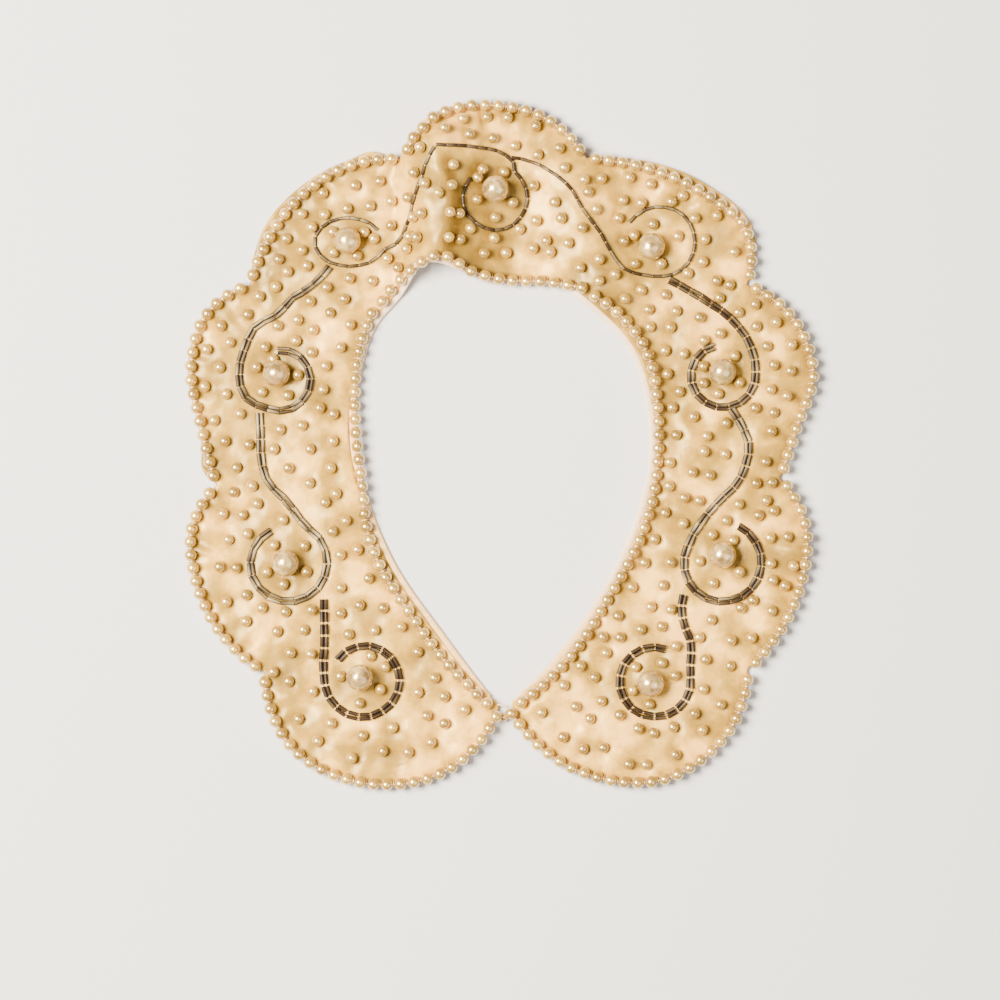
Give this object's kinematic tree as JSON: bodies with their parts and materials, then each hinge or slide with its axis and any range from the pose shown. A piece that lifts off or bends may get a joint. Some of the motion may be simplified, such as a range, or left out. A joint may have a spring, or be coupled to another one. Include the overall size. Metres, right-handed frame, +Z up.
{
  "type": "collar necklace",
  "caption": "Detachable ivory satin collar lying flat, scalloped and edged with pearls, with bugle-bead vines round large pearls and a thread loop in front.",
  "frame": {"origin": "middle of the bounding box, on the surface that the collar lies on", "axes": "+Z up out of the collar's face, +Y towards the back of the neck, +X to the right as seen from above with the two front ends at -Y"},
  "size_m": [0.1962, 0.2135, 0.0149],
  "materials": {
    "ivory_satin": "soft satin, age-stained golden round the beads",
    "facing_satin": "pale satin with fine crosswise threads",
    "champagne_pearl": "pearl lustre, champagne gold",
    "cream_pearl": "pearl lustre, cream",
    "bugle_glass": "smoky glass tubes with a silver lining",
    "loop_thread": "matt twisted thread"
  },
  "bodies": {
    "root": {"collar_panel": "ivory_satin", "neck_facing": "facing_satin", "pearl_edge_front_left": "champagne_pearl", "pearl_edge_low_left": "champagne_pearl", "pearl_edge_high_left": "champagne_pearl", "pearl_edge_back_left": "champagne_pearl", "pearl_edge_back": "champagne_pearl", "pearl_edge_back_right": "champagne_pearl", "pearl_edge_high_right": "champagne_pearl", "pearl_edge_low_right": "champagne_pearl", "pearl_edge_front_right": "champagne_pearl", "pearl_neck_left": "champagne_pearl", "pearl_neck_back": "champagne_pearl", "pearl_neck_right": "champagne_pearl", "vine_front_left": "bugle_glass", "vine_low_left": "bugle_glass", "vine_high_left": "bugle_glass", "vine_back_left": "bugle_glass", "vine_back": "bugle_glass", "vine_back_right": "bugle_glass", "vine_high_right": "bugle_glass", "vine_low_right": "bugle_glass", "vine_front_right": "bugle_glass", "large_pearl_front_left": "cream_pearl", "large_pearl_low_left": "cream_pearl", "large_pearl_high_left": "cream_pearl", "large_pearl_back_left": "cream_pearl", "large_pearl_back": "cream_pearl", "large_pearl_back_right": "cream_pearl", "large_pearl_high_right": "cream_pearl", "large_pearl_low_right": "cream_pearl", "large_pearl_front_right": "cream_pearl", "front_loop": "loop_thread"}
  },
  "joints": []
}
